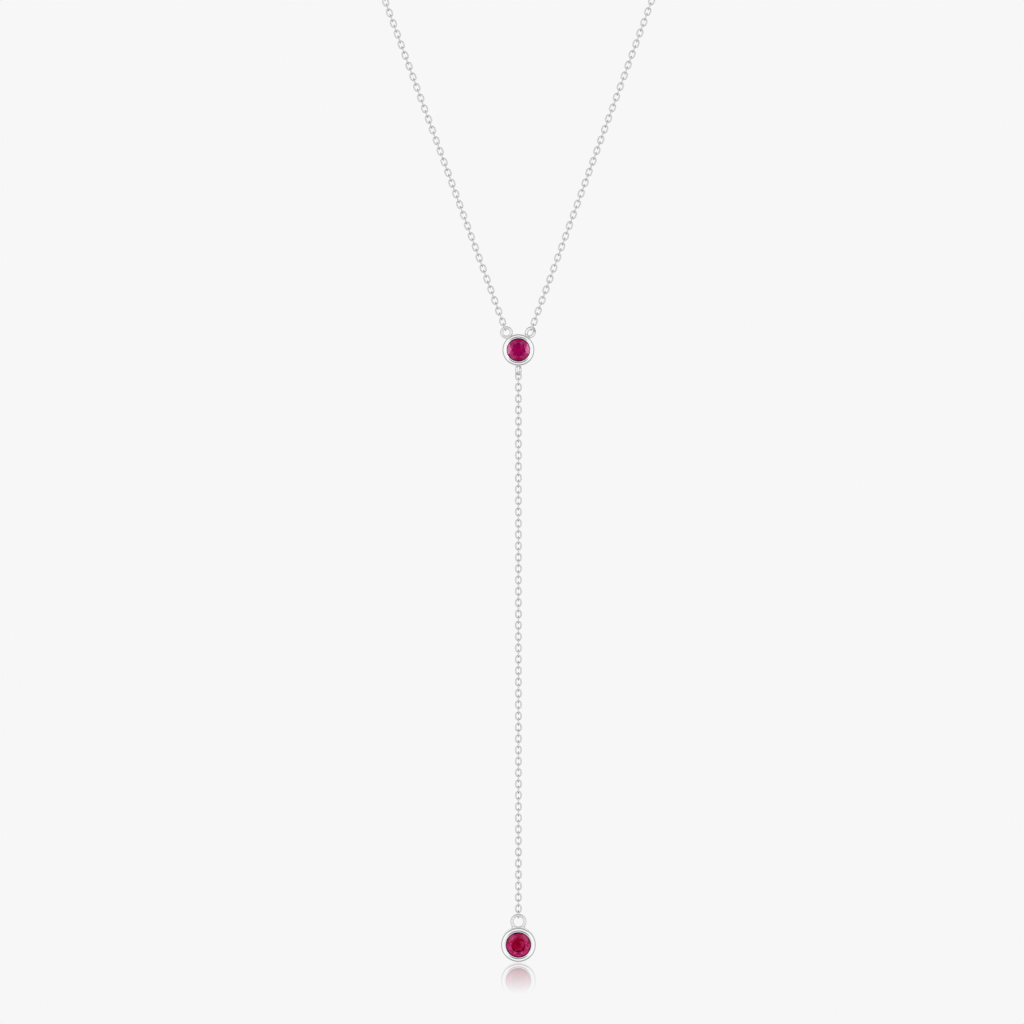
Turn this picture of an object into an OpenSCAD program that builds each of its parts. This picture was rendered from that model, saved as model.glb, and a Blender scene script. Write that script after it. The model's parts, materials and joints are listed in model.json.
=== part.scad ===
/* [Neck chain] */
// Length of the whole neck loop, once round through the station and the clasp
neck_len = 457; // [400:1:520]
// Angle of each strand from the vertical where it leaves the station
strand_angle = 20.1; // [17:0.1:24]
// Height above the station where the strands start to bend back
bend_height = 62; // [50:1:75]
// Radius of the bend over the collarbones
bend_radius = 60; // [45:1:70]
// Backward lean of the loop round the neck
lean = 60; // [45:1:65]

/* [Chain links] */
// Wire thickness of a link
link_wire = 0.2; // [0.18:0.01:0.22]
// Width of a link
link_w = 0.98; // [0.9:0.01:1.15]
// Distance from one link to the next
link_pitch = 0.85; // [0.8:0.01:0.95]
// Clear gap where two links hook
link_gap = 0.1; // [0.1:0.01:0.12]
// Number of links in the drop chain, which is even
drop_links = 96; // [60:2:110]

/* [Stones] */
// Diameter of the upper stone
station_stone_d = 3.7; // [3.4:0.05:4.2]
// Diameter of the lower stone
drop_stone_d = 4.0; // [3.6:0.05:4.6]
// Table width as a share of the stone's diameter
table_share = 0.57; // [0.5:0.01:0.62]
// Crown height as a share of the stone's diameter
crown_share = 0.125; // [0.12:0.005:0.16]
// Pavilion depth as a share of the stone's diameter
pavilion_share = 0.43; // [0.4:0.005:0.44]
// Thickness of the girdle
girdle_h = 0.1; // [0.06:0.01:0.14]

/* [Bezels] */
// Metal round the upper stone, seen from the front
station_wall = 0.55; // [0.5:0.01:0.7]
// Metal round the lower stone, seen from the front
drop_wall = 0.6; // [0.55:0.01:0.8]
// Height of the rim above the stone's girdle
rim_rise = 0.27; // [0.24:0.01:0.4]
// How far the lip is pushed over the stone
lip_over = 0.08; // [0.06:0.01:0.1]
// Thickness of the lip at its tip
lip_tip = 0.04; // [0.03:0.01:0.06]
// Width of the bright bevel inside the rim
bevel_w = 0.21; // [0.16:0.01:0.26]
// Rounding of the rim from its bevel out to the wall
rim_round = 0.36; // [0.2:0.01:0.4]
// Rounding of the back's outer edge
back_round = 0.14; // [0.08:0.01:0.2]
// Width of the ledge that carries the stone
ledge_w = 0.4; // [0.3:0.01:0.5]
// Metal behind the stone's point
back_cover = 0.15; // [0.1:0.01:0.3]
// Clearance all round a stone
stone_gap = 0.03; // [0.02:0.005:0.04]

/* [Rings] */
// Outer diameter of the two ear rings and the clasp's bail
ear_od = 1.9; // [1.8:0.05:2.2]
// Wire of the ear rings, the bail and the end ring
ear_wire = 0.48; // [0.42:0.01:0.54]
// Angle of the ear rings from the vertical, round the bezel
ear_angle = 34; // [30:1:40]
// Turn of the right ear ring about its solder joint
ear_turn = 40; // [20:1:50]
// How deep a ring sinks into the metal it is soldered to
solder_sink = 0.15; // [0.1:0.01:0.2]
// Outer diameter of the ring under the upper bezel
hang_od = 1.7; // [1.5:0.05:1.8]
// Wire of the ring under the upper bezel
hang_wire = 0.34; // [0.3:0.01:0.4]
// How deep the ring under the upper bezel sinks into it
hang_sink = 0.25; // [0.2:0.01:0.34]
// Turn of the ring under the upper bezel away from the front
hang_turn = 62; // [50:1:90]
// Outer diameter of the drop's ring
drop_ring_od = 2.4; // [2.3:0.05:2.8]
// Wire of the drop's ring
drop_ring_wire = 0.48; // [0.42:0.01:0.52]
// How deep the drop's ring sinks into its bezel
drop_sink = 0.4; // [0.35:0.01:0.48]
// Diameter of the solder beads at the foot of the drop's ring
solder_bead = 0.5; // [0.4:0.05:0.6]

/* [Clasp] */
// Outer diameter of the clasp's ring
clasp_od = 5.0; // [4.5:0.1:6]
// Wire of the clasp's ring
clasp_wire = 0.8; // [0.7:0.05:1]
// Diameter of the clasp's thumb pin
thumb_d = 0.5; // [0.4:0.05:0.6]
// Reach of the thumb pin beyond the ring
thumb_reach = 0.6; // [0.4:0.05:0.9]
// Outer diameter of the ring that the clasp holds
end_ring_od = 3.0; // [2.8:0.05:3.4]
// Clearance between two hooked rings
ring_gap = 0.1; // [0.06:0.01:0.12]

/* [Hidden] */
$fn = 96;

white_metal = "silver";
red_stone = "crimson";
rad = PI / 180;

// A chain link
link_len = link_pitch + 2 * link_wire + link_gap;
link_bow_r = (link_w - link_wire) / 2;
link_straight = link_len - link_w;
link_reach = (link_len - link_wire) / 2;

// Sides drawn round a link's wire and round its bows, fewer than elsewhere because links are many
link_sides = 24;

// Radii of the wire centre lines
ear_r = (ear_od - ear_wire) / 2;
hang_r = (hang_od - hang_wire) / 2;
drop_ring_r = (drop_ring_od - drop_ring_wire) / 2;
clasp_r = (clasp_od - clasp_wire) / 2;
end_ring_r = (end_ring_od - ear_wire) / 2;

// The bezels
station_r = station_stone_d / 2 + station_wall;
drop_r = drop_stone_d / 2 + drop_wall;

// Centres of the soldered rings, from the centre of their bezel
ear_dist = station_r + ear_od / 2 - solder_sink;
hang_dist = station_r + hang_od / 2 - hang_sink;
drop_ring_dist = drop_r + drop_ring_od / 2 - drop_sink;

// Distances down from the centre of the upper stone
first_link = hang_dist + hang_r - (hang_wire + link_wire) / 2 - link_gap + link_reach;
last_link = first_link + (drop_links - 1) * link_pitch;
drop_pivot = last_link + link_reach - (link_wire + drop_ring_wire) / 2 - ring_gap;
drop_centre = drop_pivot + drop_ring_r + drop_ring_dist;

// The loop, drawn flat: a straight strand from the ear ring, then an arc to the nape
ear_x = ear_dist * sin(ear_angle);
ear_v = ear_dist * cos(ear_angle);
half_len = neck_len / 2 - ear_dist;
loop_r = (half_len + ear_x / sin(strand_angle)) / (1 / tan(strand_angle) + PI / 2 + strand_angle * rad);
strand_len = loop_r / tan(strand_angle) - ear_x / sin(strand_angle);
loop_v = ear_v + (loop_r - ear_x * cos(strand_angle)) / sin(strand_angle);

// The clasp group: the bail on one side of the clasp and the end ring on the other
bail_dist = clasp_od / 2 + ear_od / 2 - solder_sink;
bail_reach = bail_dist + ear_r;
end_ring_dist = clasp_r - (clasp_wire + ear_wire) / 2 - ring_gap + end_ring_r;
end_reach = end_ring_dist + end_ring_r;
clasp_half = (bail_reach + end_reach) / 2;
clasp_x = (bail_reach - end_reach) / 2;
nape_v = loop_v + sqrt(loop_r * loop_r - clasp_half * clasp_half);
route_end = strand_len + loop_r * (strand_angle + acos(clasp_half / loop_r)) * rad;

// The flat loop is bent back like a sheet of paper
bend_end = bend_height + bend_radius * lean * rad;
function bend_at(v) = min(max(v - bend_height, 0), bend_end - bend_height) / bend_radius / rad;
function sheet_y(v) = bend_radius * (1 - cos(bend_at(v))) + max(v - bend_end, 0) * sin(lean);
function sheet_z(v) =
    min(v, bend_height) + bend_radius * sin(bend_at(v)) + max(v - bend_end, 0) * cos(lean);

// The middle of the clasp group is the origin
station_y = -sheet_y(nape_v);
station_z = -sheet_z(nape_v);

// A place on the flat loop at s along it from the ear ring's centre, and the way it runs there
function turn_at(s) = max(s - strand_len, 0) / loop_r / rad - strand_angle;
function flat_x(s) = s < strand_len ? ear_x + s * sin(strand_angle) : loop_r * cos(turn_at(s));
function flat_v(s) = s < strand_len ? ear_v + s * cos(strand_angle) : loop_v + loop_r * sin(turn_at(s));

// The neck chain's round outline, swept along one side of the loop
chain_rings = 40;
chain_sides = 8;
chain_start = ear_r + ear_wire / 2 + ring_gap;
chain_end = route_end - ear_wire / 2 - ring_gap;
function ring_point(s, a, side) =
    let (v = flat_v(s), t = turn_at(s), b = bend_at(v),
         across = link_w / 2 * cos(a), out = link_w / 2 * sin(a))
    [side * (flat_x(s) + across * cos(t)),
     station_y + sheet_y(v) + across * sin(t) * sin(b) - out * cos(b),
     station_z + sheet_z(v) + across * sin(t) * cos(b) + out * sin(b)];

// A round brilliant: girdle at height 0, table up, point down
half_facet = 22.5;
facets = 8;
star_share = 0.5;
lower_share = 0.77;
function round_at(r, h, start, n) =
    [for (i = [0:n - 1]) [r * cos(start + 360 / n * i), r * sin(start + 360 / n * i), h]];
function crown_slope(d) = crown_share * d / (d / 2 - table_r(d));
function table_r(d) = table_share * d / 2;
function star_r(d) = d / 2 - star_share * (d / 2 - table_r(d) * cos(half_facet));
function star_h(d) = crown_share * d - crown_slope(d) * (star_r(d) * cos(half_facet) - table_r(d));
function lower_r(d) = (1 - lower_share) * d / 2;
function lower_h(d) = pavilion_share * d * (1 - 2 * lower_r(d) * cos(half_facet) / d);

// Where a bezel's rim, girdle and back lie from the middle of its height
function bezel_h(d) = rim_rise + girdle_h / 2 + pavilion_share * d + back_cover;
function girdle_at(d) = bezel_h(d) / 2 - rim_rise;

// Half section of a bezel, as distance from its axis and height towards the front
function bezel_section(d, wall) =
    let (r = d / 2, out = r + wall, lip = r - lip_over, g = girdle_at(d),
         front = bezel_h(d) / 2, back = -bezel_h(d) / 2, bore = r - ledge_w,
         half_slope = star_h(d) / (r - star_r(d)),
         under = g + girdle_h / 2 + stone_gap + half_slope * lip_over,
         cone = 2 * pavilion_share)
    concat(
        [[bore, back]],
        [for (a = [-90:30:0]) [out - back_round * (1 - cos(a)), back + back_round * (1 + sin(a))]],
        [for (a = [0:15:90]) [out - rim_round * (1 - cos(a)), front - rim_round * (1 - sin(a))]],
        [[lip + bevel_w, front], [lip, under + lip_tip], [lip, under]],
        [[r + stone_gap, g + girdle_h / 2 + stone_gap], [r + stone_gap, g - girdle_h / 2 - stone_gap]],
        [[bore, g - girdle_h / 2 - stone_gap - cone * (ledge_w + stone_gap)]]);

module wire_ring(r, wire) {
    rotate_extrude() translate([r, 0]) circle(d = wire);
}

module bezel(d, wall) {
    rotate([90, 0, 0]) rotate_extrude() polygon(bezel_section(d, wall));
}

module brilliant(d) {
    r = d / 2;
    table = round_at(table_r(d), girdle_h / 2 + crown_share * d, 0, facets);
    star = round_at(star_r(d), girdle_h / 2 + star_h(d), half_facet, facets);
    upper = round_at(r, girdle_h / 2, 0, 2 * facets);
    under = round_at(r, -girdle_h / 2, 0, 2 * facets);
    lower = round_at(lower_r(d), -girdle_h / 2 - lower_h(d), half_facet, facets);
    point = [[0, 0, -girdle_h / 2 - pavilion_share * d]];
    hull() polyhedron(
        points = concat(table, star, upper, under, lower, point),
        faces = brilliant_faces());
}

// The corners are numbered table, stars, upper girdle, lower girdle, lower halves, point
function brilliant_faces() =
    let (s0 = facets, u0 = 2 * facets, l0 = 4 * facets, p0 = 6 * facets, tip = 7 * facets)
    concat(
        [[for (i = [0:facets - 1]) facets - 1 - i]],
        [for (i = [0:facets - 1]) let (j = (i + 1) % facets) [i, j, s0 + i]],
        [for (i = [0:facets - 1]) let (h = (i + facets - 1) % facets) [i, s0 + i, u0 + 2 * i, s0 + h]],
        [for (i = [0:facets - 1]) [s0 + i, u0 + 2 * i + 1, u0 + 2 * i]],
        [for (i = [0:facets - 1]) let (j = (i + 1) % facets) [s0 + i, u0 + 2 * j, u0 + 2 * i + 1]],
        [for (i = [0:2 * facets - 1]) let (j = (i + 1) % (2 * facets)) [u0 + i, u0 + j, l0 + j, l0 + i]],
        [for (i = [0:facets - 1]) [p0 + i, l0 + 2 * i, l0 + 2 * i + 1]],
        [for (i = [0:facets - 1]) let (j = (i + 1) % facets) [p0 + i, l0 + 2 * i + 1, l0 + 2 * j]],
        [for (i = [0:facets - 1]) let (h = (i + facets - 1) % facets) [tip, p0 + h, l0 + 2 * i, p0 + i]]);

module at_station() {
    translate([0, station_y, station_z]) children();
}

module at_drop() {
    at_station() translate([0, 0, -drop_centre]) children();
}

module seated_stone(d) {
    translate([0, -girdle_at(d), 0]) rotate([90, 0, 0]) brilliant(d);
}

module station_setting() {
    color(white_metal) at_station() {
        bezel(station_stone_d, station_wall);
        for (side = [-1, 1])
            rotate([0, side * ear_angle, 0]) translate([0, 0, ear_dist])
                rotate([90, 0, side > 0 ? ear_turn : 0]) wire_ring(ear_r, ear_wire);
        translate([0, 0, -hang_dist]) rotate([90, 0, hang_turn]) wire_ring(hang_r, hang_wire);
    }
}

module station_stone() {
    color(red_stone) at_station() seated_stone(station_stone_d);
}

module chain_link() {
    $fn = link_sides;
    for (end = [0, 180])
        rotate([90, end, 0]) translate([0, link_straight / 2, 0])
            rotate_extrude(angle = 180) translate([link_bow_r, 0]) circle(d = link_wire);
    for (side = [-1, 1])
        translate([side * link_bow_r, 0, 0]) cylinder(d = link_wire, h = link_straight, center = true);
}

module drop_chain() {
    color(white_metal) at_station()
        for (i = [0:drop_links - 1])
            translate([0, 0, -first_link - i * link_pitch]) rotate([0, 0, 90 * (i % 2)]) chain_link();
}

module drop_setting() {
    // Where the ring's outer edge crosses the bezel's
    bead_z = (drop_ring_dist ^ 2 + drop_r ^ 2 - (drop_ring_od / 2) ^ 2) / (2 * drop_ring_dist);
    bead_x = sqrt(drop_r ^ 2 - bead_z ^ 2);
    color(white_metal) at_drop() {
        bezel(drop_stone_d, drop_wall);
        translate([0, 0, drop_ring_dist]) rotate([90, 0, 0]) wire_ring(drop_ring_r, drop_ring_wire);
        for (side = [-1, 1]) translate([side * bead_x, 0, bead_z]) sphere(d = solder_bead);
    }
}

module drop_stone() {
    color(red_stone) at_drop() seated_stone(drop_stone_d);
}

module neck_chain(side) {
    n = chain_sides;
    last = chain_rings - 1;
    step = (chain_end - chain_start) / last;
    points = [for (i = [0:last], k = [0:n - 1])
        ring_point(chain_start + i * step, side * 360 / n * k, side)];
    walls = [for (i = [0:last - 1], k = [0:n - 1])
        [i * n + k, i * n + (k + 1) % n, (i + 1) * n + (k + 1) % n, (i + 1) * n + k]];
    caps = [[for (k = [0:n - 1]) n - 1 - k], [for (k = [0:n - 1]) last * n + k]];
    polyhedron(points = points, faces = concat(walls, caps), convexity = 6);
}

module neck_chain_left() {
    color(white_metal) neck_chain(-1);
}

module neck_chain_right() {
    color(white_metal) neck_chain(1);
}

// The clasp lies against the neck, square to the leaning loop
module at_nape() {
    rotate([-lean, 0, 0]) translate([clasp_x, 0, 0]) children();
}

module clasp() {
    color(white_metal) at_nape() {
        wire_ring(clasp_r, clasp_wire);
        translate([-bail_dist, 0, 0]) wire_ring(ear_r, ear_wire);
        rotate([-90, 0, 0]) translate([0, 0, clasp_r])
            cylinder(d = thumb_d, h = clasp_wire / 2 + thumb_reach);
    }
}

module end_ring() {
    color(white_metal) at_nape() translate([end_ring_dist, 0, 0])
        rotate([90, 0, 0]) wire_ring(end_ring_r, ear_wire);
}

station_setting();
station_stone();
drop_chain();
drop_setting();
drop_stone();
neck_chain_left();
neck_chain_right();
clasp();
end_ring();
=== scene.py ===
"""A Y necklace of fine white-metal cable chain: two round red stones in bezels, one at the
fork and one hanging free at the end of a long drop. Everything is in metres, in the frame
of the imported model, with the stones facing -Y."""

import json
import math

import bmesh
import bpy
from mathutils import Euler, Matrix, Vector


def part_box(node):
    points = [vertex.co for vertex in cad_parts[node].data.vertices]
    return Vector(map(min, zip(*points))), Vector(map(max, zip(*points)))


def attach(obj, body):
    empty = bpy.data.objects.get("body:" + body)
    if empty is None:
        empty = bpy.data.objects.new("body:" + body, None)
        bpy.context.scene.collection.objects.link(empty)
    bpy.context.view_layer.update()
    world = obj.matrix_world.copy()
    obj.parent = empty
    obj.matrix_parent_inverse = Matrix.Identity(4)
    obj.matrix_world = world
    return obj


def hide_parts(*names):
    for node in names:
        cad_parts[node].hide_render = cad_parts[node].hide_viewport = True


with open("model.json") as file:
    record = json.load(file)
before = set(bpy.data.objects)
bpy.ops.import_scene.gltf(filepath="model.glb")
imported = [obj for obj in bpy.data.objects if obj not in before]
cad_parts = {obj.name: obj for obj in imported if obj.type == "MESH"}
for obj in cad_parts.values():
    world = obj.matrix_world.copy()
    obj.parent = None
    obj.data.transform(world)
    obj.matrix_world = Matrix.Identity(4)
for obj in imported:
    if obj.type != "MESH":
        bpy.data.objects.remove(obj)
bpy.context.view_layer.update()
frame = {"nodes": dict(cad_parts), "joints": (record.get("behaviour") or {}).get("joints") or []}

MM = 0.001

# Chain links
LINK_WIRE = 0.2 * MM
LINK_WIDTH = 0.98 * MM
LINK_PITCH = 0.85 * MM
LINK_GAP = 0.1 * MM
DROP_LINKS = 96
LEFT_LINKS = 260
RIGHT_LINKS = 259

LINK_LENGTH = LINK_PITCH + 2 * LINK_WIRE + LINK_GAP
LINK_BOW = (LINK_WIDTH - LINK_WIRE) / 2
LINK_STRAIGHT = LINK_LENGTH - LINK_WIDTH
LINK_REACH = (LINK_LENGTH - LINK_WIRE) / 2

# Stones and bezels
STATION_STONE = 3.7 * MM
DROP_STONE = 4.0 * MM
STATION_WALL = 0.55 * MM
DROP_WALL = 0.6 * MM
TABLE_SHARE = 0.57
CROWN_SHARE = 0.125
PAVILION_SHARE = 0.43
STAR_SHARE = 0.5
GIRDLE = 0.1 * MM
RIM_RISE = 0.27 * MM
LIP_OVER = 0.08 * MM
BEVEL_WIDTH = 0.21 * MM
LEDGE = 0.4 * MM
BACK_COVER = 0.15 * MM
STONE_GAP = 0.03 * MM

# The finish of a bezel: its rim slopes outwards from a small crown, a bright-cut step falls
# from there to the lip, and polishing has rounded the edges. A fullness of 0.5 is a quarter
# circle, and the rim's is a little more.
RIM_SLOPE = math.tan(math.radians(8))
RIM_CROWN = 0.02 * MM
RIM_CROWN_WIDTH = 0.05 * MM
STEP_WIDTH = 0.12 * MM
STEP_DROP = 0.082 * MM
LIP_DROP = 0.012 * MM
RIM_ROUND = 0.36 * MM
BACK_ROUND = 0.14 * MM
RIDGE_ROUND = 0.02 * MM
LIP_ROUND = 0.006 * MM
BORE_ROUND = 0.04 * MM
QUARTER_CIRCLE = 0.5
RIM_FULLNESS = 0.55

# Rings
EAR_OD = 1.9 * MM
EAR_WIRE = 0.48 * MM
EAR_ANGLE = math.radians(34)
EAR_TURN = math.radians(40)
SOLDER_SINK = 0.15 * MM
HANG_OD = 1.7 * MM
HANG_WIRE = 0.34 * MM
HANG_SINK = 0.25 * MM
HANG_TURN = math.radians(62)
DROP_RING_OD = 2.4 * MM
DROP_RING_WIRE = 0.48 * MM
DROP_SINK = 0.4 * MM
SOLDER_BEAD = 0.5 * MM

# Clasp
CLASP_OD = 5.0 * MM
CLASP_WIRE = 0.8 * MM
THUMB = 0.5 * MM
THUMB_REACH = 0.6 * MM
END_RING_OD = 3.0 * MM
RING_GAP = 0.1 * MM

# The neck loop
NECK_LENGTH = 457 * MM
STRAND_ANGLE = math.radians(20.1)
BEND_HEIGHT = 62 * MM
BEND_RADIUS = 60 * MM
LEAN = math.radians(60)

EAR_R = (EAR_OD - EAR_WIRE) / 2
HANG_R = (HANG_OD - HANG_WIRE) / 2
DROP_RING_R = (DROP_RING_OD - DROP_RING_WIRE) / 2
CLASP_R = (CLASP_OD - CLASP_WIRE) / 2
END_RING_R = (END_RING_OD - EAR_WIRE) / 2

STATION_R = STATION_STONE / 2 + STATION_WALL
DROP_R = DROP_STONE / 2 + DROP_WALL
EAR_DIST = STATION_R + EAR_OD / 2 - SOLDER_SINK
HANG_DIST = STATION_R + HANG_OD / 2 - HANG_SINK
DROP_RING_DIST = DROP_R + DROP_RING_OD / 2 - DROP_SINK

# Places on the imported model: the drop's hinge, and the middles of the two stones
PIVOT = Vector(frame["joints"][0]["pos_m"])


def stone_centre(node):
    low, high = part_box(node)
    return Vector(((low.x + high.x) / 2, PIVOT.y, (low.z + high.z) / 2))


STATION = stone_centre("station_stone")
DROP = stone_centre("drop_stone")
FIRST_LINK = HANG_DIST + HANG_R - (HANG_WIRE + LINK_WIRE) / 2 - LINK_GAP + LINK_REACH

# The loop drawn flat, then bent back like a sheet of paper, as in the part's source
EAR_X = EAR_DIST * math.sin(EAR_ANGLE)
EAR_V = EAR_DIST * math.cos(EAR_ANGLE)
HALF_LENGTH = NECK_LENGTH / 2 - EAR_DIST
LOOP_R = (HALF_LENGTH + EAR_X / math.sin(STRAND_ANGLE)) / (
    1 / math.tan(STRAND_ANGLE) + math.pi / 2 + STRAND_ANGLE)
STRAND = LOOP_R / math.tan(STRAND_ANGLE) - EAR_X / math.sin(STRAND_ANGLE)
LOOP_V = EAR_V + (LOOP_R - EAR_X * math.cos(STRAND_ANGLE)) / math.sin(STRAND_ANGLE)
BEND_END = BEND_HEIGHT + BEND_RADIUS * LEAN

BAIL_DIST = CLASP_OD / 2 + EAR_OD / 2 - SOLDER_SINK
END_RING_DIST = CLASP_R - (CLASP_WIRE + EAR_WIRE) / 2 - RING_GAP + END_RING_R
CLASP_HALF = (BAIL_DIST + EAR_R + END_RING_DIST + END_RING_R) / 2
CLASP_X = (BAIL_DIST + EAR_R - END_RING_DIST - END_RING_R) / 2
ROUTE_END = STRAND + LOOP_R * (STRAND_ANGLE + math.acos(CLASP_HALF / LOOP_R))


def route_place(s, side):
    """Where the chain is at s along one side of the loop, the way it runs there, and the
    sheet's normal, which points to the front."""
    turn = max(s - STRAND, 0) / LOOP_R - STRAND_ANGLE
    if s < STRAND:
        x, v = EAR_X + s * math.sin(STRAND_ANGLE), EAR_V + s * math.cos(STRAND_ANGLE)
    else:
        x, v = LOOP_R * math.cos(turn), LOOP_V + LOOP_R * math.sin(turn)
    bend = min(max(v - BEND_HEIGHT, 0) / BEND_RADIUS, LEAN)
    past = max(v - BEND_END, 0)
    y = BEND_RADIUS * (1 - math.cos(bend)) + past * math.sin(LEAN)
    z = min(v, BEND_HEIGHT) + BEND_RADIUS * math.sin(bend) + past * math.cos(LEAN)
    place = STATION + Vector((side * x, y, z))
    run = Vector((-side * math.sin(turn), math.cos(turn) * math.sin(bend), math.cos(turn) * math.cos(bend)))
    normal = Vector((0, -math.cos(bend), math.sin(bend)))
    return place, run, normal


# Modelling helpers
SHARP_FROM = math.radians(22)  # Edges that turn by more stay sharp


def deselect_all():
    bpy.ops.object.select_all(action="DESELECT")


def finish_primitive(name):
    """The primitive just added gets its name, and its place goes into its mesh."""
    piece = bpy.context.active_object
    piece.name = piece.data.name = name
    bpy.ops.object.transform_apply(location=True, rotation=True, scale=True)
    return piece


def make_active(piece):
    deselect_all()
    piece.select_set(True)
    bpy.context.view_layer.objects.active = piece


def edit_mode(piece):
    make_active(piece)
    bpy.ops.object.mode_set(mode="EDIT")


def pick(piece, kind, test):
    """In edit mode, selects the faces or edges that pass a test."""
    bpy.ops.mesh.select_mode(type="FACE" if kind == "faces" else "EDGE")
    bpy.ops.mesh.select_all(action="DESELECT")
    mesh = bmesh.from_edit_mesh(piece.data)
    for item in getattr(mesh, kind):
        if test(item):
            item.select_set(True)
    bmesh.update_edit_mesh(piece.data)


def object_mode():
    bpy.ops.object.mode_set(mode="OBJECT")


def join(pieces, name):
    deselect_all()
    for piece in pieces:
        piece.select_set(True)
    bpy.context.view_layer.objects.active = pieces[0]
    if len(pieces) > 1:
        bpy.ops.object.join()
    whole = bpy.context.active_object
    whole.name = whole.data.name = name
    return whole


def smooth(piece):
    make_active(piece)
    bpy.ops.object.shade_smooth_by_angle(angle=SHARP_FROM)


# Rings and beads
RING_SEGMENTS = 64
WIRE_SEGMENTS = 20
BEAD_SEGMENTS, BEAD_RINGS = 20, 12
PIN_SEGMENTS = 24
LYING_TO_FRONT = Matrix.Rotation(math.pi / 2, 4, "X")


def model_ring(name, radius, wire, place):
    """A closed wire ring. place is a matrix that takes a ring lying flat to where it goes."""
    deselect_all()
    bpy.ops.mesh.primitive_torus_add(
        major_segments=RING_SEGMENTS, minor_segments=WIRE_SEGMENTS,
        major_radius=radius, minor_radius=wire / 2,
        location=place.to_translation(), rotation=place.to_euler())
    ring = finish_primitive(name)
    ring.data.materials.append(setting_metal)
    return ring


def model_bead(name, size, place):
    deselect_all()
    bpy.ops.mesh.primitive_uv_sphere_add(
        segments=BEAD_SEGMENTS, ring_count=BEAD_RINGS, radius=size / 2, location=place)
    bead = finish_primitive(name)
    bead.data.materials.append(setting_metal)
    return bead


# Bezels
BEZEL_SEGMENTS = 128


def bezel_height(stone):
    return RIM_RISE + GIRDLE / 2 + PAVILION_SHARE * stone + BACK_COVER


def lip_slope(stone):
    """How steeply the stone's upper halves climb from the girdle."""
    r, table = stone / 2, TABLE_SHARE * stone / 2
    half_facet = math.cos(math.pi / 8)
    star = r - STAR_SHARE * (r - table * half_facet)
    star_h = CROWN_SHARE * stone * (1 - (star * half_facet - table) / (r - table))
    return star_h / (r - star)


def at_level(height):
    return lambda face: abs(face.normal.z) > 0.9 and abs(face.calc_center_median().z - height) < 1e-7


def edge_on(radius, height):
    """Tests for the edges of one circle of the bezel."""
    def test(e):
        middle = (e.verts[0].co + e.verts[1].co) / 2
        flat = abs(e.verts[0].co.z - e.verts[1].co.z) < 1e-8
        return flat and abs(middle.z - height) < 1e-7 and abs(middle.xy.length - radius) < radius * 2e-3
    return test


def sink_to(radius_from, radius_to, drop):
    """Extrudes the chosen face down the bezel's axis, or up it for a drop below nought, and
    opens or closes it to a radius."""
    bpy.ops.mesh.extrude_region_move(TRANSFORM_OT_translate={"value": (0, 0, -drop)})
    share = radius_to / radius_from
    bpy.ops.transform.resize(value=(share, share, 1), center_override=(0, 0, 0))


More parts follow.
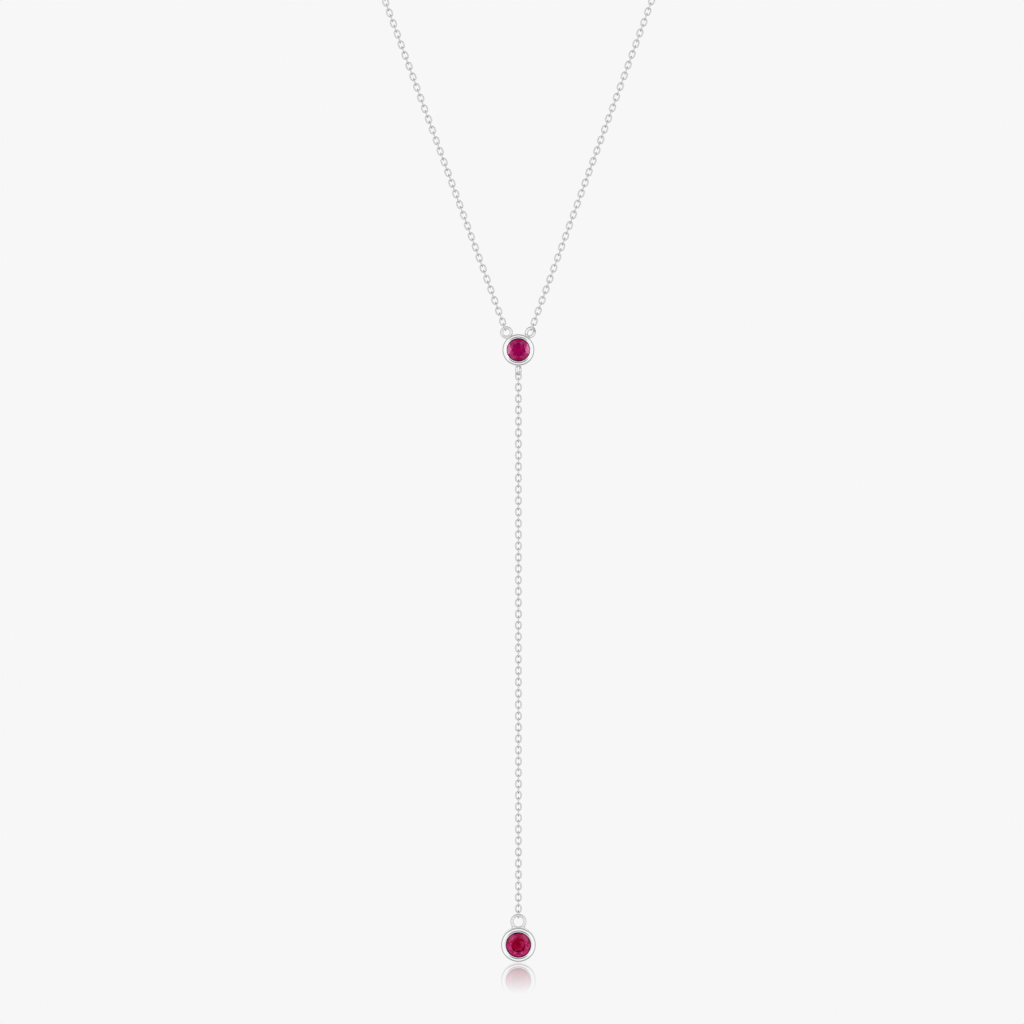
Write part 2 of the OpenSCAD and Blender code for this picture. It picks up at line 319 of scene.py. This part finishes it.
def model_bezel(name, stone, wall, centre):
    """A turned tube whose rim slopes to a thin lip over the stone. It is made lying on its
    back with its front up, and is then stood up at its place."""
    r = stone / 2
    out, lip, seat, bore = r + wall, r - LIP_OVER, r + STONE_GAP, r - LEDGE
    bevel, ridge = lip + BEVEL_WIDTH, lip + BEVEL_WIDTH + RIM_CROWN_WIDTH
    height = bezel_height(stone)
    front, back = height / 2, -height / 2
    top_of_seat = front - RIM_RISE + GIRDLE / 2 + STONE_GAP
    under_lip = top_of_seat + lip_slope(stone) * LIP_OVER
    seat_wall = GIRDLE + 2 * STONE_GAP
    seat_cone = 2 * PAVILION_SHARE * (LEDGE + STONE_GAP)
    floor_of_seat = top_of_seat - seat_wall - seat_cone
    rim_drop = (out - ridge) * RIM_SLOPE
    tip = front - RIM_CROWN - STEP_DROP - LIP_DROP

    deselect_all()
    bpy.ops.mesh.primitive_cylinder_add(
        vertices=BEZEL_SEGMENTS, radius=out, depth=height, end_fill_type="NGON")
    piece = finish_primitive(name)
    piece.data.materials.append(setting_metal)
    piece.data.materials.append(shaded_seat_metal)
    edit_mode(piece)

    # The front: the rim rises to its crown, a bright-cut step falls to the lip, which slopes to
    # the stone, and under it the seat leads down to the bore
    pick(piece, "faces", at_level(front))
    bpy.ops.transform.translate(value=(0, 0, -rim_drop))
    sink_to(out, ridge, -rim_drop)
    sink_to(ridge, bevel, RIM_CROWN)
    sink_to(bevel, bevel - STEP_WIDTH, STEP_DROP)
    sink_to(bevel - STEP_WIDTH, lip, LIP_DROP)
    sink_to(lip, lip, tip - under_lip)
    sink_to(lip, seat, under_lip - top_of_seat)
    sink_to(seat, seat, seat_wall)
    sink_to(seat, bore, seat_cone)

    # The back: a ring of metal round the bore, which is then opened right through
    pick(piece, "faces", at_level(back))
    sink_to(out, bore, 0)
    seat_floor, back_face = at_level(floor_of_seat), at_level(back)
    pick(piece, "faces", lambda f: len(f.verts) > 4 and (seat_floor(f) or back_face(f)))
    bpy.ops.mesh.bridge_edge_loops()

    # The edges, rounded by polishing
    for radius, level, width, segments, fullness in (
            (out, front - rim_drop, RIM_ROUND, 12, RIM_FULLNESS),
            (out, back, BACK_ROUND, 4, QUARTER_CIRCLE),
            (bevel, front - RIM_CROWN, RIDGE_ROUND, 2, QUARTER_CIRCLE),
            (lip, tip, LIP_ROUND, 2, QUARTER_CIRCLE),
            (bore, back, BORE_ROUND, 2, QUARTER_CIRCLE)):
        pick(piece, "edges", edge_on(radius, level))
        bpy.ops.mesh.bevel(
            offset=width, segments=segments, profile=fullness, affect="EDGES", clamp_overlap=True)

    # The seat that the stone covers is rough, unpolished metal, and its near-black colour is
    # painted shade in the recess under the lip
    pick(piece, "faces", lambda f: floor_of_seat < f.calc_center_median().z < under_lip
         and f.calc_center_median().xy.length < seat + STONE_GAP)
    piece.active_material_index = 1
    bpy.ops.object.material_slot_assign()

    bpy.ops.mesh.select_all(action="SELECT")
    bpy.ops.mesh.normals_make_consistent(inside=False)
    bpy.ops.transform.rotate(value=-math.pi / 2, orient_axis="X", center_override=(0, 0, 0))
    bpy.ops.transform.translate(value=centre)
    object_mode()
    return piece


def ear_place(side, turn):
    radial = Matrix.Rotation(side * EAR_ANGLE, 4, "Y")
    return (Matrix.Translation(STATION) @ radial @ Matrix.Translation((0, 0, EAR_DIST))
            @ Matrix.Rotation(turn, 4, "Z") @ LYING_TO_FRONT)


def model_station_setting():
    hang = (Matrix.Translation(STATION - Vector((0, 0, HANG_DIST)))
            @ Matrix.Rotation(HANG_TURN, 4, "Z") @ LYING_TO_FRONT)
    return join([
        model_bezel("station_setting_metal", STATION_STONE, STATION_WALL, STATION),
        model_ring("ear_left", EAR_R, EAR_WIRE, ear_place(-1, 0)),
        model_ring("ear_right", EAR_R, EAR_WIRE, ear_place(1, EAR_TURN)),
        model_ring("hang_ring", HANG_R, HANG_WIRE, hang),
    ], "station_setting_metal")


def model_drop_setting():
    bead_z = (DROP_RING_DIST ** 2 + DROP_R ** 2 - (DROP_RING_OD / 2) ** 2) / (2 * DROP_RING_DIST)
    bead_x = math.sqrt(DROP_R ** 2 - bead_z ** 2)
    ring = Matrix.Translation(DROP + Vector((0, 0, DROP_RING_DIST))) @ LYING_TO_FRONT
    beads = [model_bead("solder_bead", SOLDER_BEAD, DROP + Vector((side * bead_x, 0, bead_z)))
             for side in (-1, 1)]
    return join([
        model_bezel("drop_setting_metal", DROP_STONE, DROP_WALL, DROP),
        model_ring("drop_ring", DROP_RING_R, DROP_RING_WIRE, ring),
        *beads,
    ], "drop_setting_metal")


# Links
LINK_SEGMENTS = 12
LINK_SIDES = 6


def model_link():
    """One oval link, upright and facing the front: a ring split across its middle, with its
    halves drawn apart and the gaps bridged."""
    deselect_all()
    bpy.ops.mesh.primitive_torus_add(
        major_segments=LINK_SEGMENTS, minor_segments=LINK_SIDES, major_radius=LINK_BOW,
        minor_radius=LINK_WIRE / 2, rotation=(math.pi / 2, 0, 0))
    link = finish_primitive("link")
    link.data.materials.append(chain_metal)
    edit_mode(link)
    pick(link, "faces", lambda f: f.calc_center_median().z > 0)
    bpy.ops.mesh.split()
    bpy.ops.transform.translate(value=(0, 0, LINK_STRAIGHT / 2))
    pick(link, "faces", lambda f: f.calc_center_median().z < 0)
    bpy.ops.transform.translate(value=(0, 0, -LINK_STRAIGHT / 2))
    for side in (-1, 1):
        pick(link, "edges", lambda e: e.is_boundary and side * e.verts[0].co.x > 0)
        bpy.ops.mesh.bridge_edge_loops()
    bpy.ops.mesh.select_all(action="SELECT")
    bpy.ops.mesh.normals_make_consistent(inside=False)
    bpy.ops.mesh.faces_shade_smooth()
    object_mode()
    return link


def link_frame(place, along, across):
    """The matrix that stands a link at a place, along the chain and with its width across."""
    through = along.cross(across).normalized()
    turn = Matrix((across, through, along)).transposed().to_4x4()
    return Matrix.Translation(place) @ turn


def lay_chain(name, link, frames):
    """Copies of the link, one at each place, joined into one piece."""
    copies = []
    for place in frames:
        mesh = link.data.copy()
        mesh.transform(place)
        copy = bpy.data.objects.new(name, mesh)
        bpy.context.scene.collection.objects.link(copy)
        copies.append(copy)
    return join(copies, name)


def drop_frames():
    """Links from the ring under the fork down to the drop's hinge: the first faces the front."""
    up = Vector((0, 0, 1))
    for i in range(DROP_LINKS):
        place = STATION - (FIRST_LINK + i * LINK_PITCH) * up
        across = Vector((1, 0, 0)) if i % 2 == 0 else Vector((0, 1, 0))
        yield link_frame(place, up, across)


def side_frames(side, count):
    """Links from the ear ring to the clasp: the first is edge-on, in the ring's opening."""
    first = EAR_R - (EAR_WIRE + LINK_WIRE) / 2 - LINK_GAP + LINK_REACH
    last = ROUTE_END + (EAR_WIRE + LINK_WIRE) / 2 + LINK_GAP - LINK_REACH
    for i in range(count):
        place, run, normal = route_place(first + (last - first) * i / (count - 1), side)
        across = normal if i % 2 == 0 else run.cross(normal)
        yield link_frame(place, run, across)


# Clasp
def model_clasp():
    nape = Matrix.Rotation(-LEAN, 4, "X") @ Matrix.Translation((CLASP_X, 0, 0))
    deselect_all()
    length = CLASP_WIRE / 2 + THUMB_REACH
    pin_place = (nape @ Matrix.Rotation(-math.pi / 2, 4, "X")
                 @ Matrix.Translation((0, 0, CLASP_R + length / 2)))
    bpy.ops.mesh.primitive_cylinder_add(
        vertices=PIN_SEGMENTS, radius=THUMB / 2, depth=length,
        location=pin_place.to_translation(), rotation=pin_place.to_euler())
    pin = finish_primitive("thumb_pin")
    pin.data.materials.append(setting_metal)
    bail = nape @ Matrix.Translation((-BAIL_DIST, 0, 0))
    return join([
        model_ring("clasp_metal", CLASP_R, CLASP_WIRE, nape),
        model_ring("bail", EAR_R, EAR_WIRE, bail),
        pin,
    ], "clasp_metal")


def model_end_ring():
    place = (Matrix.Rotation(-LEAN, 4, "X") @ Matrix.Translation((CLASP_X + END_RING_DIST, 0, 0))
             @ LYING_TO_FRONT)
    return model_ring("end_ring_wire", END_RING_R, EAR_WIRE, place)


# Materials
def new_material(name):
    material = bpy.data.materials.new(name)
    material.use_nodes = True
    material.node_tree.nodes.clear()
    return material, material.node_tree


def add(tree, kind, **values):
    node = tree.nodes.new(kind)
    for key, value in values.items():
        if key in node.inputs.keys():
            node.inputs[key].default_value = value
        else:
            setattr(node, key, value)
    return node


def math_node(tree, operation, *values):
    """A Math node whose inputs are sockets or numbers."""
    node = add(tree, "ShaderNodeMath", operation=operation)
    for i, value in enumerate(values):
        if isinstance(value, (int, float)):
            node.inputs[i].default_value = value
        else:
            tree.links.new(value, node.inputs[i])
    return node.outputs[0]


def mix_colours(tree, share, first, second):
    """A Mix node of two colours, which are sockets or numbers."""
    node = add(tree, "ShaderNodeMix", data_type="RGBA")
    tree.links.new(share, node.inputs["Factor"])
    for colour, socket in ((first, node.inputs[6]), (second, node.inputs[7])):
        if isinstance(colour, tuple):
            socket.default_value = colour
        else:
            tree.links.new(colour, socket)
    return node.outputs[2]


# Hairlines are this many times finer than the waviness, drawn out along Z, and add this share
# to its relief
HAIR_FINENESS = 9.0
HAIR_STRETCH = 0.12
HAIR_RELIEF = 0.06


def polish_group():
    """Hand polish on metal: fine hairlines, a soft waviness and a little tarnish."""
    group = bpy.data.node_groups.new("hand_polish", "ShaderNodeTree")
    for socket in ("Scale", "Tarnish", "Smoothest", "Roughest"):
        group.interface.new_socket(socket, in_out="INPUT", socket_type="NodeSocketFloat")
    for socket in ("Bright", "Dull"):
        group.interface.new_socket(socket, in_out="INPUT", socket_type="NodeSocketColor")
    group.interface.new_socket("Color", in_out="OUTPUT", socket_type="NodeSocketColor")
    for socket in ("Roughness", "Height"):
        group.interface.new_socket(socket, in_out="OUTPUT", socket_type="NodeSocketFloat")
    given = add(group, "NodeGroupInput").outputs
    out = add(group, "NodeGroupOutput").inputs
    place = add(group, "ShaderNodeTexCoord")
    link = group.links.new

    stretch = add(group, "ShaderNodeMapping", Scale=(1.0, 1.0, HAIR_STRETCH))
    link(place.outputs["Object"], stretch.inputs["Vector"])
    hair = add(group, "ShaderNodeTexNoise", Detail=3.0, Roughness=0.6)
    link(stretch.outputs["Vector"], hair.inputs["Vector"])
    link(math_node(group, "MULTIPLY", given["Scale"], HAIR_FINENESS), hair.inputs["Scale"])
    wave = add(group, "ShaderNodeTexNoise", Detail=2.0)
    link(place.outputs["Object"], wave.inputs["Vector"])
    link(given["Scale"], wave.inputs["Scale"])

    rough = add(group, "ShaderNodeMapRange")
    link(hair.outputs["Fac"], rough.inputs["Value"])
    link(given["Smoothest"], rough.inputs["To Min"])
    link(given["Roughest"], rough.inputs["To Max"])
    link(rough.outputs["Result"], out["Roughness"])
    patches = math_node(group, "MULTIPLY", wave.outputs["Fac"], given["Tarnish"])
    link(mix_colours(group, patches, given["Bright"], given["Dull"]), out["Color"])
    relief = math_node(group, "MULTIPLY_ADD", hair.outputs["Fac"], HAIR_RELIEF, wave.outputs["Fac"])
    link(relief, out["Height"])
    return group


HAND_POLISH = polish_group()


POLISH_RELIEF = 0.02 * MM


def white_metal(name, scale, bright, dull, tarnish, rough, bump):
    """White metal under the hand polish. rough is its smoothest and its roughest finish."""
    material, tree = new_material(name)
    polish = add(tree, "ShaderNodeGroup", node_tree=HAND_POLISH)
    smoothest, roughest = rough
    settings = {"Scale": scale, "Tarnish": tarnish, "Smoothest": smoothest, "Roughest": roughest,
                "Bright": (*bright, 1), "Dull": (*dull, 1)}
    for socket, value in settings.items():
        polish.inputs[socket].default_value = value
    relief = add(tree, "ShaderNodeBump", Strength=bump, Distance=POLISH_RELIEF)
    metal = add(tree, "ShaderNodeBsdfPrincipled", Metallic=1.0)
    out = add(tree, "ShaderNodeOutputMaterial")
    link = tree.links.new
    link(polish.outputs["Height"], relief.inputs["Height"])
    link(polish.outputs["Color"], metal.inputs["Base Color"])
    link(polish.outputs["Roughness"], metal.inputs["Roughness"])
    link(relief.outputs["Normal"], metal.inputs["Normal"])
    link(metal.outputs["BSDF"], out.inputs["Surface"])
    return material


# Shares of a stone's radius: where its darker middle (painted shade at the table) ends, its rim
# begins, its dark outer ring (painted shade under the lip) begins and is whole, and the share of
# the way from middle to rim where its painted light is brightest
HEART_SHADE_TO, RIM_FROM = 0.50, 0.80
LIP_SHADE_FROM, LIP_SHADE_WHOLE = 0.82, 0.88
PAINTED_GLOW_AT = 0.3
# Painted shade: the dark red of a stone's outer ring, where the bezel's lip shades it
LIP_SHADE_RED = (0.012, 0.0, 0.004, 1)

# Uneven zones of colour: their fineness across a radius, and how far they shift the colour
ZONES_ACROSS = 1.6
ZONES_SHIFT = 0.7


def radius_mask(tree, place, centre, radius, squeeze, start, whole):
    """Nought in the middle of a stone and 1 at its rim, from start to whole, which are shares
    of its radius. A squeeze below 1 draws the middle out upwards and downwards."""
    from_axis = add(tree, "ShaderNodeMapping")
    from_axis.inputs["Location"].default_value = (-centre.x / radius, 0, -centre.z * squeeze / radius)
    from_axis.inputs["Scale"].default_value = (1 / radius, 0, squeeze / radius)
    tree.links.new(place, from_axis.inputs["Vector"])
    reach = add(tree, "ShaderNodeVectorMath", operation="LENGTH")
    tree.links.new(from_axis.outputs["Vector"], reach.inputs[0])
    mask = add(tree, "ShaderNodeMapRange")
    mask.inputs["From Min"].default_value, mask.inputs["From Max"].default_value = start, whole
    tree.links.new(reach.outputs["Value"], mask.inputs["Value"])
    return mask.outputs["Result"]


def red_stone(name, node, radius, squeeze, shaded_heart, painted_glow, rim, shine):
    """A clear stone with painted light and shade in its colour: darker in the middle, painted shade at
    its table, brightest partway to its rim, painted light, with soft uneven zones and a dark outer
    ring of painted shade under the lip. Its shine is the tint of what its facets mirror."""
    material, tree = new_material(name)
    link = tree.links.new
    place = add(tree, "ShaderNodeTexCoord").outputs["Object"]
    centre = stone_centre(node)
    # Painted shade and light: the colour runs from a dark middle to a bright ring, then the rim's red
    outwards = radius_mask(tree, place, centre, radius, squeeze, HEART_SHADE_TO, RIM_FROM)
    # Painted shade: a dark ring round the stone, under the bezel's lip
    lip_shade = radius_mask(tree, place, centre, radius, 1, LIP_SHADE_FROM, LIP_SHADE_WHOLE)
    zones = add(tree, "ShaderNodeTexNoise", Scale=ZONES_ACROSS / radius, Detail=2.0, Roughness=0.5)
    link(place, zones.inputs["Vector"])
    shift = math_node(tree, "MULTIPLY_ADD", zones.outputs["Fac"], ZONES_SHIFT, -ZONES_SHIFT / 2)
    ramp = add(tree, "ShaderNodeValToRGB")
    ramp.color_ramp.elements.new(PAINTED_GLOW_AT)
    for element, colour in zip(ramp.color_ramp.elements, (shaded_heart, painted_glow, rim)):
        element.color = (*colour, 1)
    link(math_node(tree, "ADD", outwards, shift), ramp.inputs["Fac"])
    gem = add(tree, "ShaderNodeBsdfPrincipled", Roughness=0.03, IOR=1.77)
    gem.inputs["Transmission Weight"].default_value = 1.0
    gem.inputs["Specular Tint"].default_value = (*shine, 1)
    link(mix_colours(tree, lip_shade, ramp.outputs["Color"], LIP_SHADE_RED), gem.inputs["Base Color"])
    out = add(tree, "ShaderNodeOutputMaterial")
    link(gem.outputs["BSDF"], out.inputs["Surface"])
    return material


setting_metal = white_metal(
    "setting_metal", scale=900, bright=(0.93, 0.93, 0.935), dull=(0.80, 0.80, 0.82),
    tarnish=0.35, rough=(0.05, 0.13), bump=0.08)
# Near-black metal for the seat: painted shade behind the stone; its roughness is real, unpolished metal
shaded_seat_metal = white_metal(
    "shaded_seat_metal", scale=900, bright=(0.10, 0.10, 0.10), dull=(0.05, 0.05, 0.05),
    tarnish=1.0, rough=(0.45, 0.6), bump=0.1)
chain_metal = white_metal(
    "chain_metal", scale=1600, bright=(0.82, 0.82, 0.825), dull=(0.66, 0.66, 0.67),
    tarnish=0.5, rough=(0.20, 0.32), bump=0.05)
# The stones' colours: a dark middle of painted shade, a bright ring of painted light, and the rim's red
upper_red = red_stone(
    "upper_stone", "station_stone", STATION_STONE / 2, squeeze=0.62,
    shaded_heart=(0.45, 0.0, 0.09), painted_glow=(0.92, 0.05, 0.36), rim=(0.72, 0.004, 0.22),
    shine=(0.75, 0.37, 0.56))
lower_red = red_stone(
    "lower_stone", "drop_stone", DROP_STONE / 2, squeeze=0.9,
    shaded_heart=(0.30, 0.0, 0.009), painted_glow=(0.95, 0.05, 0.29), rim=(0.80, 0.003, 0.22),
    shine=(0.75, 0.20, 0.44))


def settle(piece, body, node):
    """A finished piece rides on its body and stands for its node."""
    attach(piece, body)
    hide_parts(node)


# The pieces
for model, body, node in (
        (model_station_setting, "necklace", "station_setting"),
        (model_drop_setting, "drop", "drop_setting"),
        (model_clasp, "necklace", "clasp"),
        (model_end_ring, "necklace", "end_ring")):
    metal = model()
    smooth(metal)
    settle(metal, body, node)

link_pattern = model_link()
for chain_name, places, node in (
        ("drop_chain_links", drop_frames(), "drop_chain"),
        ("left_chain_links", side_frames(-1, LEFT_LINKS), "neck_chain_left"),
        ("right_chain_links", side_frames(1, RIGHT_LINKS), "neck_chain_right")):
    settle(lay_chain(chain_name, link_pattern, places), "necklace", node)
bpy.data.objects.remove(link_pattern)

for node, gem in (("station_stone", upper_red), ("drop_stone", lower_red)):
    stone = frame["nodes"][node]
    stone.data.materials.clear()
    stone.data.materials.append(gem)


# The room: a pale floor just under the drop, which mirrors it where it nearly touches, red
# least and green most, and a light tent all round
PALE = 0.930
FLOOR_GAP = 0.08 * MM
FLOOR_SIZE = 8.0
MIRROR_NEAR = (0.60, 0.68, 0.66, 1)
MIRROR_REACH = 42 * MM


def make_floor():
    under_drop = Vector((DROP.x, DROP.y, DROP.z - DROP_R - FLOOR_GAP))
    deselect_all()
    bpy.ops.mesh.primitive_plane_add(size=FLOOR_SIZE, location=(0, 0, under_drop.z))
    floor = finish_primitive("floor")
    material, tree = new_material("pale_floor")
    link = tree.links.new
    place = add(tree, "ShaderNodeTexCoord")
    away = add(tree, "ShaderNodeVectorMath", operation="DISTANCE")
    away.inputs[1].default_value = under_drop
    link(place.outputs["Object"], away.inputs[0])
    fade = add(tree, "ShaderNodeMapRange")
    fade.inputs["From Max"].default_value = MIRROR_REACH
    link(away.outputs["Value"], fade.inputs["Value"])
    mirror = add(tree, "ShaderNodeBsdfAnisotropic", Roughness=0.0)
    link(mix_colours(tree, fade.outputs["Result"], MIRROR_NEAR, (0, 0, 0, 1)), mirror.inputs["Color"])
    pale = add(tree, "ShaderNodeEmission")
    lost = tuple(PALE * (1 - share) for share in MIRROR_NEAR[:3])
    link(mix_colours(tree, fade.outputs["Result"], (*lost, 1), (PALE, PALE, PALE, 1)), pale.inputs["Color"])
    both = add(tree, "ShaderNodeAddShader")
    link(pale.outputs["Emission"], both.inputs[0])
    link(mirror.outputs["BSDF"], both.inputs[1])
    out = add(tree, "ShaderNodeOutputMaterial")
    link(both.outputs["Shader"], out.inputs["Surface"])
    floor.data.materials.append(material)
    # What the metal and the stones see below them is the tent's lower half
    floor.visible_glossy = floor.visible_transmission = floor.visible_diffuse = False


# The tent's brightness at angles from straight ahead, in degrees: the dark opening for the
# lens, white cloth, a dark gap beside and behind the object, and the pale backdrop
TENT_LIGHT = 1.1
TENT_SIDES = ((0, 0.04), (8, 0.04), (11, 0.95), (52, 0.95), (72, 0.78), (84, 0.38), (130, 0.34),
              (142, 0.60), (167, PALE / TENT_LIGHT))
TENT_ENDS = ((0, 0.04), (8, 0.04), (11, 0.92), (46, 0.90), (58, 0.14), (76, 0.14), (86, 0.58), (126, 0.58),
             (140, 0.72), (167, PALE / TENT_LIGHT))
# The ends begin 52 degrees from upright, seen from the front, and are whole 28 degrees from it
ENDS_FROM, ENDS_WHOLE = math.cos(math.radians(52)), math.cos(math.radians(28))


def tent_ramp(tree, stops):
    node = add(tree, "ShaderNodeValToRGB")
    elements = node.color_ramp.elements
    while len(elements) < len(stops):
        elements.new(0.5)
    for element, (angle, tone) in zip(elements, stops):
        element.position, element.color = angle / 180, (tone, tone, tone, 1)
    return node


# Light through the stones comes from a hazier tent, because their flaws scatter it
STONE_EVENNESS = 0.8
STONE_LIGHT = (0.54, 0.54, 0.54, 1)


def make_world():
    """The tent as the metal and the stones see it, with darker ends above and below, and the
    plain backdrop that the camera and the floor's sharp mirror see."""
    world = bpy.data.worlds.new("light_tent")
    world.use_nodes = True
    tree = world.node_tree
    tree.nodes.clear()
    link = tree.links.new
    way = add(tree, "ShaderNodeTexCoord")
    axes = add(tree, "ShaderNodeSeparateXYZ")
    link(way.outputs["Generated"], axes.inputs["Vector"])
    ahead = math_node(tree, "MULTIPLY", axes.outputs["Y"], -1)
    turn = math_node(tree, "DIVIDE", math_node(tree, "ARCCOSINE", ahead), math.pi)
    ahead_squared = math_node(tree, "MULTIPLY", ahead, ahead)
    aside = math_node(tree, "SQRT", math_node(tree, "SUBTRACT", 1, ahead_squared))
    upright = math_node(tree, "DIVIDE", math_node(tree, "ABSOLUTE", axes.outputs["Z"]), aside)
    to_ends = add(tree, "ShaderNodeMapRange", interpolation_type="SMOOTHSTEP")
    to_ends.inputs["From Min"].default_value = ENDS_FROM
    to_ends.inputs["From Max"].default_value = ENDS_WHOLE
    link(upright, to_ends.inputs["Value"])
    sides, ends = tent_ramp(tree, TENT_SIDES), tent_ramp(tree, TENT_ENDS)
    link(turn, sides.inputs["Fac"])
    link(turn, ends.inputs["Fac"])
    cloth = mix_colours(tree, to_ends.outputs["Result"], sides.outputs["Color"], ends.outputs["Color"])
    ray = add(tree, "ShaderNodeLightPath")
    through = math_node(tree, "MULTIPLY", ray.outputs["Is Transmission Ray"], STONE_EVENNESS)
    cloth = mix_colours(tree, through, cloth, STONE_LIGHT)
    tent = add(tree, "ShaderNodeBackground", Strength=TENT_LIGHT)
    link(cloth, tent.inputs["Color"])
    backdrop = add(tree, "ShaderNodeBackground", Color=(PALE, PALE, PALE, 1))
    sees_backdrop = math_node(tree, "MAXIMUM", ray.outputs["Is Camera Ray"], ray.outputs["Is Singular Ray"])
    mix = add(tree, "ShaderNodeMixShader")
    out = add(tree, "ShaderNodeOutputWorld")
    link(sees_backdrop, mix.inputs["Fac"])
    link(tent.outputs["Background"], mix.inputs[1])
    link(backdrop.outputs["Background"], mix.inputs[2])
    link(mix.outputs["Shader"], out.inputs["Surface"])
    bpy.context.scene.world = world


# Camera: level, straight at the necklace's flat part, framed as the photograph is
IMAGE_PIXELS = 1024
PIXEL = 0.15 * MM
LENS = 150
CENTRE_LINE_PX = 518.4
STATION_PX = 350.1


def make_camera():
    data = bpy.data.cameras.new("camera")
    data.lens = LENS
    camera = bpy.data.objects.new("camera", data)
    bpy.context.scene.collection.objects.link(camera)
    width = IMAGE_PIXELS * PIXEL
    distance = width * LENS / data.sensor_width
    middle = IMAGE_PIXELS / 2
    camera.location = (
        (middle - CENTRE_LINE_PX) * PIXEL,
        PIVOT.y - distance,
        STATION.z - (middle - STATION_PX) * PIXEL)
    camera.rotation_euler = Euler((math.pi / 2, 0, 0))
    data.clip_start, data.clip_end = 0.01, 20
    bpy.context.scene.camera = camera


# Two softboxes for each stone, left and right of it, which light its crown and nothing else
SOFTBOX_ANGLE = math.radians(62)
SOFTBOX_DISTANCE = 0.6
SOFTBOXES = {
    "station_stone": {"lift": math.radians(7), "size": (0.40, 0.80), "tone": 4.6},
    "drop_stone": {"lift": math.radians(45), "size": (0.20, 0.20), "tone": 1.9},
}


def make_softboxes(node, lift, size, tone):
    lit = bpy.data.collections.new(node + "_softboxes")
    lit.objects.link(frame["nodes"][node])
    width, height = size
    aside, up = math.sin(SOFTBOX_ANGLE) * math.cos(lift), math.sin(SOFTBOX_ANGLE) * math.sin(lift)
    for side in (-1, 1):
        towards = Vector((side * aside, -math.cos(SOFTBOX_ANGLE), up))
        deselect_all()
        bpy.ops.object.light_add(
            type="AREA", location=stone_centre(node) + towards * SOFTBOX_DISTANCE,
            rotation=towards.to_track_quat("Z", "Y").to_euler())
        box = bpy.context.active_object
        box.name = box.data.name = node + ("_softbox_left" if side < 0 else "_softbox_right")
        box.data.shape = "RECTANGLE"
        box.data.size, box.data.size_y = width, height
        box.data.energy = tone * math.pi * width * height
        box.visible_camera = box.visible_transmission = False
        box.light_linking.receiver_collection = lit


make_floor()
make_world()
for lit_stone, softbox in SOFTBOXES.items():
    make_softboxes(lit_stone, **softbox)
make_camera()
bpy.context.scene.view_settings.view_transform = "Standard"
